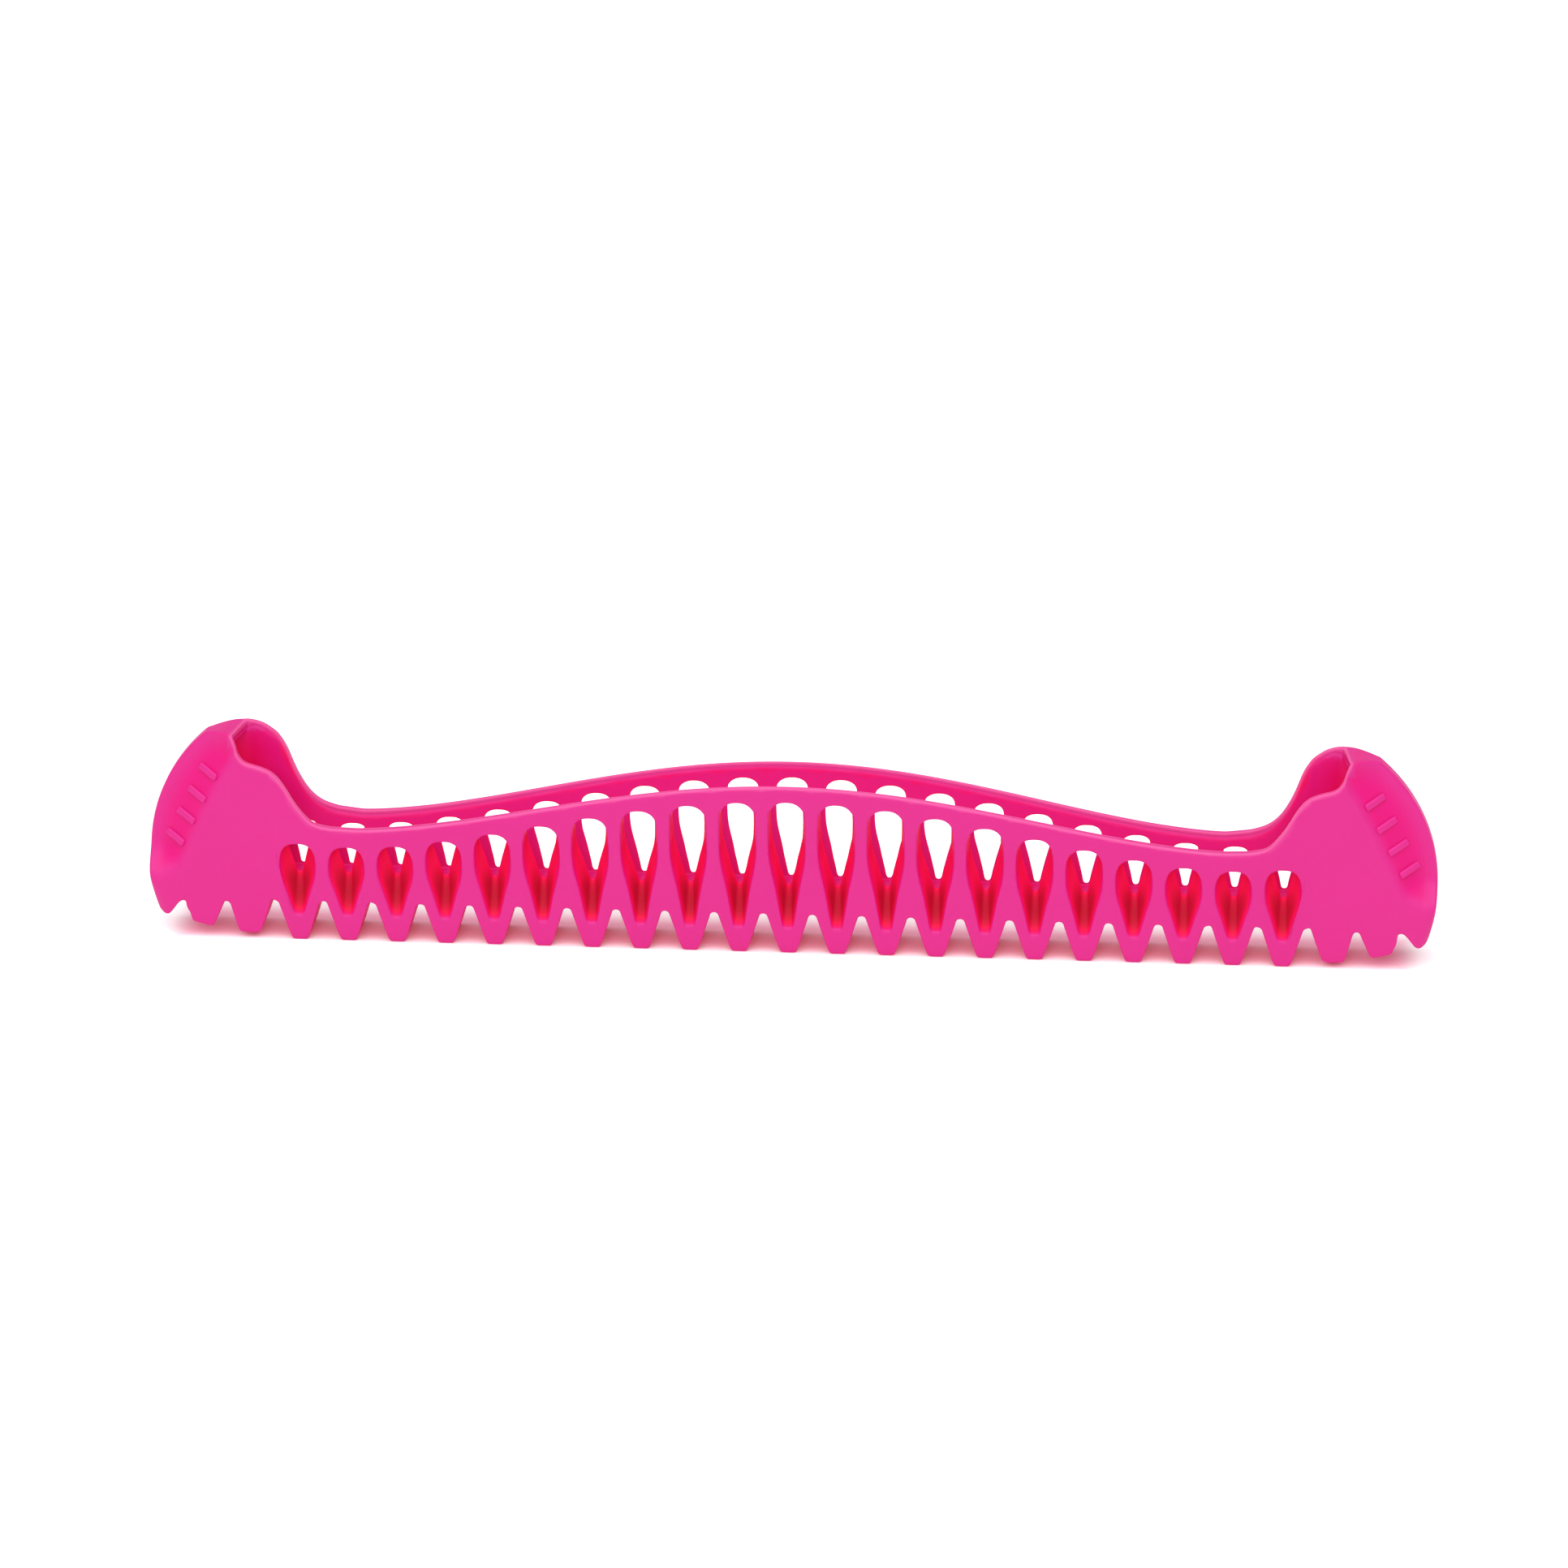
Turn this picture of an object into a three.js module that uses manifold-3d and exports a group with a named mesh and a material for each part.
// Elastic blade guard for an ice skate: one soft moulding, divided where it stretches.
// Millimetres. +X along the blade, +Y across it, +Z up. The feet stand on z = 0.
import * as THREE from 'three'
import { mergeVertices } from 'three/addons/utils/BufferGeometryUtils.js'
import Module from 'manifold-3d'

const wasm = await Module()
wasm.setup()

// ---- driving dimensions ----
const PITCH = 10              // distance from one foot to the next
const SIDE_LINKS = 10         // links on each side of the centre link
const GAP = 0.1               // width of the dividing cut between two links
const CUT_X = (SIDE_LINKS + 0.5) * PITCH   // where the cups begin

// feet and the notches between them
const FOOT_HALF = 0.175 * PITCH    // half length of a foot's flat bottom
const NOTCH_HALF = 0.085 * PITCH   // half width of a notch just under its round top
const NOTCH_TOP = 8.7              // height of a notch's round top

// outside of the walls, seen along the blade
const SOLE_HALF = 5.6         // half width at the feet
const FLARE = 0.062           // widening per millimetre of height
const DIP_HALF = 6.5          // half width at the low parts of the rail
const BOW = 1.7               // extra half width in the middle of the guard

// inside channel
const WALL = 1.5              // wall thickness at the rail
const SLOT_FLOOR = 13.4       // height of the slot's floor
const SLOT_HALF = 2.4         // half width of the slot at its floor
const SLOT_FLARE = 0.2        // widening of the slot per millimetre of height

// top rail
const RAIL_DIP = 24.5         // rail height at its low parts
const RAIL_RISE = 12.2        // how much higher the rail is in the middle
const DIP_X = CUT_X - 17      // distance of the low parts from the middle
const RAIL_POWER = 0.8        // fullness of the rail's wave

// windows
const WINDOW_BOTTOM = 5.3
const WINDOW_HALF = 0.375 * PITCH  // half width of a window
const WINDOW_TIP = 0.95       // half width at its lower tip
const WINDOW_TAPER = 0.6      // part of its height that narrows to the tip
const RAIL_BAND = 4.1         // material left above the end windows
const BAND_THIN = 0.7         // how much thinner it is in the middle of the guard
const RIM_DROP = 0.55         // extra material above the last windows, per millimetre outwards
const RIM_DROP_X = CUT_X - 13 // where that extra material starts
const DRAFT = 1.5             // how much half a window narrows towards the inside
const DRAFT_TOP = 1.1         // how much its top rises towards the inside
const DRAFT_TIP = SLOT_FLOOR - WINDOW_BOTTOM + 0.9  // how much its lower tip comes up
const DRAFT_DEPTH = 4.4       // depth over which it narrows

// end cups
const ROOF_Z = 44             // top of both cups
const ROOF_FALL = 0.8         // how much the top falls towards the outer edge
const ROOF_WALL = 2.4         // thickness of that top
const ROOF_TAPER = 0.63       // widening of the hollow under it, per millimetre from the outer edge
const KEEL_HALF = 1.5         // half thickness of the outer edge where the dishes meet it
const HOLLOW_INSET = 3.8      // distance of the hollow from the outer edge
const HOLLOW_SLOPE = 0.385    // widening of the hollow, per millimetre from there
const CUP_CENTRE_X = CUT_X - 8.5   // centre of the outer edge's arc
const CUP_CENTRE_Z = ROOF_Z - 27
const CUP_RADIUS = ROOF_Z - 9.6

// the cup's rim: distance from CUT_X, and height from the rail's low part (0) to the roof (1)
// lower on the side of -Y
const RIM_LOW = [[-12, 0.01], [-8.6, 0.05], [-6.5, 0.155], [-4.4, 0.305], [-2.5, 0.48], [-0.6, 0.6],
  [1.8, 0.66], [5, 0.715], [6.4, 0.795], [7.2, 0.91], [7.9, 1]]
const RIM_HIGH = [[-12, 0.03], [-9, 0.08], [-6.8, 0.165], [-5, 0.285], [-3.2, 0.47], [-2, 0.65],
  [-0.3, 0.81], [2.2, 0.93], [4, 0.975], [6.2, 1]]

// border of the dish in each cup's side: distance from CUT_X, height above CUP_CENTRE_Z,
// and the angle of the point of the outer edge that the dish falls to
const DISH = [[5.6, 29, 53], [7.1, 21.5, 49.5], [11, 14.7, 38], [14, 8, 26],
  [17, 1.7, 11], [19.5, -1.8, 2], [22.5, -3.4, -3.5], [27, -3.8, -5]]

// grip bars in the dishes, in a row from the top one down
const BAR_COUNT = 4
const BAR_LENGTH = 5
const BAR_HALF = 0.8
const BAR_PROUD = 0.45
const BAR_X = CUT_X + 12.8    // middle of the top bar
const BAR_Z = CUP_CENTRE_Z + 18.5
const BAR_STEP = 5.4
const BAR_TURN = 26.6         // a bar's slope, degrees
const BAR_LEAN = 25           // how much it leans with the dish, degrees
const BAR_DEPTH = 4.75        // distance of its middle from the guard's middle plane

// ---- helpers ----
function toManifold(geometry) {
  const g = geometry.clone()
  g.deleteAttribute('normal')
  g.deleteAttribute('uv')
  const merged = mergeVertices(g, 1e-5)
  const vertProperties = new Float32Array(merged.attributes.position.array)
  const triVerts = new Uint32Array(merged.index.array)
  const mesh = new wasm.Mesh({ numProp: 3, vertProperties, triVerts })
  mesh.merge()
  return new wasm.Manifold(mesh)
}

// the same for a geometry that was mirrored, so its faces point in
function flipped(geometry) {
  const g = geometry.index ? geometry.toNonIndexed() : geometry.clone()
  const p = g.attributes.position
  for (let i = 0; i < p.count; i += 3) {
    const [x, y, z] = [p.getX(i), p.getY(i), p.getZ(i)]
    p.setXYZ(i, p.getX(i + 1), p.getY(i + 1), p.getZ(i + 1))
    p.setXYZ(i + 1, x, y, z)
  }
  return toManifold(g)
}

function toGeometry(solid) {
  const mesh = solid.getMesh()
  const g = new THREE.BufferGeometry()
  const flat = new Float32Array(mesh.triVerts.length * 3)
  for (let i = 0; i < mesh.triVerts.length; i++) {
    const v = mesh.triVerts[i] * mesh.numProp
    flat[3 * i] = mesh.vertProperties[v]
    flat[3 * i + 1] = mesh.vertProperties[v + 1]
    flat[3 * i + 2] = mesh.vertProperties[v + 2]
  }
  g.setAttribute('position', new THREE.BufferAttribute(flat, 3))
  g.computeVertexNormals()
  return g
}

// a side outline (x, z) pushed from y0 to y1
function sidePrism(points, y0, y1) {
  const shape = new THREE.Shape(points.map(([x, z]) => new THREE.Vector2(x, z)))
  const g = new THREE.ExtrudeGeometry(shape, { depth: y1 - y0, bevelEnabled: false, steps: 1 })
  g.rotateX(Math.PI / 2)
  g.translate(0, y1, 0)
  return toManifold(g)
}

// an end outline (y, z) pushed from x0 to x1
function endPrism(points, x0, x1) {
  const shape = new THREE.Shape(points.map(([y, z]) => new THREE.Vector2(y, z)))
  const g = new THREE.ExtrudeGeometry(shape, { depth: x1 - x0, bevelEnabled: false, steps: 1 })
  g.rotateX(Math.PI / 2)
  g.rotateZ(Math.PI / 2)
  g.translate(x0, 0, 0)
  return toManifold(g)
}

// a plan outline (x, y) pushed from z0 to z1
function planPrism(points, z0, z1) {
  const shape = new THREE.Shape(points.map(([x, y]) => new THREE.Vector2(x, y)))
  const g = new THREE.ExtrudeGeometry(shape, { depth: z1 - z0, bevelEnabled: false, steps: 1 })
  g.translate(0, 0, z0)
  return toManifold(g)
}

// straight lines through a short list of points, read at x
function along(list, x) {
  for (let i = 1; i < list.length; i++) {
    const [x0, z0] = list[i - 1]
    const [x1, z1] = list[i]
    if (x <= x1) return z0 + (z1 - z0) * Math.max(0, (x - x0) / (x1 - x0))
  }
  return list[list.length - 1][1]
}

// ---- curves that every link shares ----
function rimPoints(list) {
  return list.map(([dx, part]) => [CUT_X + dx, RAIL_DIP + part * (ROOF_Z - RAIL_DIP)])
}
const rimLow = rimPoints(RIM_LOW)
const rimHigh = rimPoints(RIM_HIGH)

function wave(x) {
  return 0.5 + 0.5 * Math.cos(Math.PI * Math.min(Math.abs(x), DIP_X) / DIP_X)
}

function railHeight(x, rim) {
  const a = Math.abs(x)
  if (a > rim[0][0]) return along(rim, a)
  const base = RAIL_DIP + RAIL_RISE * Math.pow(wave(x), RAIL_POWER)
  const rise = (rim[0][1] - RAIL_DIP) * Math.max(0, (a - DIP_X) / (rim[0][0] - DIP_X))
  return base + rise
}

function planHalf(x) {
  return DIP_HALF + BOW * wave(x)
}

// ---- one link ----
function windowTop(x) {
  const band = RAIL_BAND - BAND_THIN * wave(x) + Math.max(0, (Math.abs(x) - RIM_DROP_X) * RIM_DROP)
  return railHeight(x, rimLow) - band
}

function windowPoints(x) {
  const top = windowTop(x)
  const rise = top - WINDOW_BOTTOM
  const shoulder = WINDOW_BOTTOM + WINDOW_TAPER * rise
  const crown = Math.min(3.2, 0.2 * rise + 0.2)
  const mid = (WINDOW_BOTTOM + shoulder) / 2
  const right = [
    [WINDOW_TIP, WINDOW_BOTTOM + 0.7],
    [0.62 * WINDOW_HALF, mid],
    [0.9 * WINDOW_HALF, (mid + shoulder) / 2 + 0.6],
    [WINDOW_HALF, shoulder + 0.5],
    [0.96 * WINDOW_HALF, top - crown],
    [0.72 * WINDOW_HALF, top - 0.3 * crown],
    [0.28 * WINDOW_HALF, top],
  ]
  const left = right.map(([dx, z]) => [-dx, z]).reverse()
  const foot = [[-0.4 * WINDOW_TIP, WINDOW_BOTTOM], [0.4 * WINDOW_TIP, WINDOW_BOTTOM]]
  return [...foot, ...right, ...left].map(([dx, z]) => [x + dx, z])
}

// a window that is full size at the outer face and narrows towards the channel
function windowCutter(x) {
  const outer = SOLE_HALF + FLARE * (SLOT_FLOOR + 1.6)
  const reach = 2
  const depth = reach + DRAFT_DEPTH
  const top = windowTop(x)
  const shape = new THREE.Shape(windowPoints(x).map(([px, pz]) => new THREE.Vector2(px, pz)))
  const g = new THREE.ExtrudeGeometry(shape, { depth, bevelEnabled: false, steps: 1 })
  const p = g.attributes.position
  for (let i = 0; i < p.count; i++) {
    const t = (p.getZ(i) - reach) / DRAFT_DEPTH
    const narrow = 1 - t * DRAFT / WINDOW_HALF
    const high = top + t * DRAFT_TOP
    const low = WINDOW_BOTTOM + t * DRAFT_TIP
    const part = (p.getY(i) - WINDOW_BOTTOM) / (top - WINDOW_BOTTOM)
    p.setXYZ(i, x + (p.getX(i) - x) * narrow, low + (high - low) * part, p.getZ(i))
  }
  g.rotateX(Math.PI / 2)
  g.scale(1, -1, 1)
  g.translate(0, -outer - reach, 0)
  const nearSide = flipped(g)
  return nearSide.add(nearSide.mirror([0, 1, 0]))
}

function linkOutline(x, rim) {
  const lo = x - PITCH / 2 + GAP / 2
  const hi = x + PITCH / 2 - GAP / 2
  const points = [
    [x - FOOT_HALF, 0],
    [x + FOOT_HALF, 0],
    [x + PITCH / 2 - NOTCH_HALF, NOTCH_TOP - 1],
    [x + PITCH / 2 - 0.55 * NOTCH_HALF, NOTCH_TOP - 0.25],
    [hi, NOTCH_TOP],
  ]
  const steps = 4
  for (let i = steps; i >= 0; i--) {
    const px = lo + (hi - lo) * i / steps
    points.push([px, railHeight(px, rim)])
  }
  points.push([lo, NOTCH_TOP])
  points.push([x - PITCH / 2 + 0.55 * NOTCH_HALF, NOTCH_TOP - 0.25])
  points.push([x - PITCH / 2 + NOTCH_HALF, NOTCH_TOP - 1])
  return points
}

function planPoints(inset) {
  const xs = []
  for (let i = -12; i <= 12; i++) xs.push(i * CUT_X / 9.5)
  const front = xs.map((x) => [x, -(planHalf(x) - inset)])
  const back = xs.map((x) => [x, planHalf(x) - inset]).reverse()
  return [...front, ...back]
}

const TALL = ROOF_Z + 16      // higher than anything
const FAR = CUT_X + 35        // further out than anything
const flareSolid = endPrism([
  [-SOLE_HALF, 0], [SOLE_HALF, 0],
  [SOLE_HALF + FLARE * TALL, TALL], [-SOLE_HALF - FLARE * TALL, TALL],
], -FAR, FAR)
const outerSolid = planPrism(planPoints(0), -1, TALL).intersect(flareSolid)
const slotTop = SLOT_HALF + SLOT_FLARE * (TALL - SLOT_FLOOR)
const slotSolid = endPrism([
  [-SLOT_HALF, SLOT_FLOOR], [SLOT_HALF, SLOT_FLOOR], [slotTop, TALL], [-slotTop, TALL],
], -FAR, FAR)
const channelSolid = planPrism(planPoints(WALL), SLOT_FLOOR, TALL).intersect(slotSolid)

function link(index) {
  const x = index * PITCH
  const near = sidePrism(linkOutline(x, rimLow), -12, 0)
  const far = sidePrism(linkOutline(x, rimHigh), 0, 12)
  return near.add(far).intersect(outerSolid).subtract(channelSolid).subtract(windowCutter(x))
}

// ---- one cup, built on the side of +X ----
function edgePoints(z0, z1, steps) {
  const a0 = Math.asin((z0 - CUP_CENTRE_Z) / CUP_RADIUS)
  const a1 = Math.asin((z1 - CUP_CENTRE_Z) / CUP_RADIUS)
  const list = []
  for (let i = 0; i <= steps; i++) {
    const a = a0 + (a1 - a0) * i / steps
    list.push([CUP_CENTRE_X + CUP_RADIUS * Math.cos(a), CUP_CENTRE_Z + CUP_RADIUS * Math.sin(a)])
  }
  return list
}

// the feet under a cup climb towards its end, and a small lobe closes the row
function cupOutline(rim) {
  const lo = CUT_X + GAP / 2
  const edge = edgePoints(5.8, ROOF_Z - ROOF_FALL, 10)
  const tip = edge[0][0]
  const under = [
    [lo, NOTCH_TOP], [CUT_X + 0.55 * NOTCH_HALF, NOTCH_TOP - 0.25],
    [CUT_X + NOTCH_HALF, NOTCH_TOP - 1],
    [CUT_X + 3.3, 1.1], [CUT_X + 7.4, 1.2],
    [CUT_X + 9.1, 7.2], [CUT_X + 9.9, 8], [CUT_X + 10.8, 7],
    [CUT_X + 12.9, 2.3], [CUT_X + 17.2, 3.5],
    [CUT_X + 18, 7.2], [CUT_X + 18.8, 8], [CUT_X + 19.6, 7.5],
    [tip - 2.2, 4.7], [tip - 1.1, 4.7],
  ]
  const over = rim.filter(([x]) => x > lo + 0.1).reverse()
  return [...under, ...edge, ...over, [lo, along(rim, lo)]]
}

// a disc that thins towards its edge, turned about an axis across the guard
function wedgeDisc(edgeInset, edgeHalf, run, fullHalf) {
  const r = CUP_RADIUS - edgeInset
  const profile = [
    [0, -fullHalf], [r - run, -fullHalf], [r, -edgeHalf],
    [r, edgeHalf], [r - run, fullHalf], [0, fullHalf],
  ].map(([px, py]) => new THREE.Vector2(px, py))
  const g = new THREE.LatheGeometry(profile, 72)
  g.translate(CUP_CENTRE_X, 0, CUP_CENTRE_Z)
  return toManifold(g)
}

// room under the roof: wide at the mouth, narrow towards the outer edge
function roofPrism(half, cap) {
  const [[tip]] = edgePoints(ROOF_Z - ROOF_FALL, ROOF_Z - ROOF_FALL, 1)
  const end = tip - (0.5 - half) / ROOF_TAPER
  const start = tip - (cap - half) / ROOF_TAPER
  return planPrism([
    [CUT_X - 20, -cap], [start, -cap], [end, -0.5], [end, 0.5], [start, cap], [CUT_X - 20, cap],
  ], SLOT_FLOOR, TALL)
}

// a tool that leaves a slope from the dish's border on the side face to the outer edge
function dishCutter() {
  const border = DISH.map(([dx, dz]) => [CUT_X + dx, CUP_CENTRE_Z + dz])
  const edge = DISH.map(([, , angle]) => {
    const a = THREE.MathUtils.degToRad(angle)
    const r = CUP_RADIUS + 0.3
    return [CUP_CENTRE_X + r * Math.cos(a), CUP_CENTRE_Z + r * Math.sin(a)]
  })
  const reach = 1.6 / (DIP_HALF - KEEL_HALF)
  const out = border.map(([x, z], i) => [x - (edge[i][0] - x) * reach, z - (edge[i][1] - z) * reach])
  const low = border[border.length - 1][1] - 1
  const corners = [[FAR, low], [FAR, TALL]]
  const start = [...out, ...corners, [out[0][0], TALL]]
  const end = [...edge, ...corners, [edge[0][0], TALL]]
  const depth = DIP_HALF + 1.6 - KEEL_HALF
  const shape = new THREE.Shape(start.map(([x, z]) => new THREE.Vector2(x, z)))
  const g = new THREE.ExtrudeGeometry(shape, { depth, bevelEnabled: false, steps: 1 })
  const p = g.attributes.position
  for (let i = 0; i < p.count; i++) {
    if (p.getZ(i) < depth / 2) continue
    const k = start.findIndex(([x, z]) => Math.hypot(x - p.getX(i), z - p.getY(i)) < 1e-4)
    p.setXY(i, end[k][0], end[k][1])
  }
  g.rotateX(Math.PI / 2)
  g.scale(1, -1, 1)
  g.translate(0, -DIP_HALF - 1.6, 0)
  const nearSide = flipped(g)
  return nearSide.add(nearSide.mirror([0, 1, 0]))
}

function gripBars() {
  const bars = []
  const turn = THREE.MathUtils.degToRad(BAR_TURN)
  for (let i = 0; i < BAR_COUNT; i++) {
    const box = new THREE.BoxGeometry(BAR_LENGTH, 2, 2 * BAR_HALF)
    box.translate(0, 1 - BAR_PROUD, 0)
    box.rotateZ(THREE.MathUtils.degToRad(BAR_LEAN))
    box.rotateY(-turn)
    const down = i * BAR_STEP
    box.translate(BAR_X + down * Math.sin(turn), -BAR_DEPTH, BAR_Z - down * Math.cos(turn))
    const near = toManifold(box)
    bars.push(near, near.mirror([0, 1, 0]))
  }
  return bars
}

function cupSolid() {
  const near = sidePrism(cupOutline(rimLow), -12, 0)
  const far = sidePrism(cupOutline(rimHigh), 0, 12)
  const sides = planPrism([
    [CUT_X - 10, -DIP_HALF], [FAR, -DIP_HALF], [FAR, DIP_HALF], [CUT_X - 10, DIP_HALF],
  ], -1, TALL)
  const shell = near.add(far).intersect(sides).intersect(flareSolid).subtract(dishCutter())
  const thin = DIP_HALF - WALL
  const hollow = wedgeDisc(HOLLOW_INSET, 0.5, (thin - 0.5) / HOLLOW_SLOPE, thin)
    .add(roofPrism(KEEL_HALF - WALL, thin))
  const room = sidePrism([
    [CUT_X - 20, SLOT_FLOOR], [CUT_X + 40, SLOT_FLOOR],
    [CUT_X + 40, ROOF_Z - ROOF_WALL], [CUT_X - 20, ROOF_Z - ROOF_WALL],
  ], -12, 12)
  let solid = shell.subtract(hollow.intersect(room).intersect(slotSolid))
  for (const bar of gripBars()) solid = solid.add(bar)
  return solid
}

// ---- the meshes ----
const guard = new THREE.Group()
guard.name = 'blade_guard'

function addMesh(name, solid) {
  const material = new THREE.MeshStandardMaterial({ color: 0xee3695, roughness: 0.55, metalness: 0 })
  const mesh = new THREE.Mesh(toGeometry(solid), material)
  mesh.name = name
  guard.add(mesh)
}

addMesh('link_centre', link(0))
for (let i = 1; i <= SIDE_LINKS; i++) {
  const label = String(i).padStart(2, '0')
  addMesh(`link_left_${label}`, link(-i))
  addMesh(`link_right_${label}`, link(i))
}
addMesh('cup_left', cupSolid().mirror([1, 0, 0]))
addMesh('cup_right', cupSolid())

export default guard
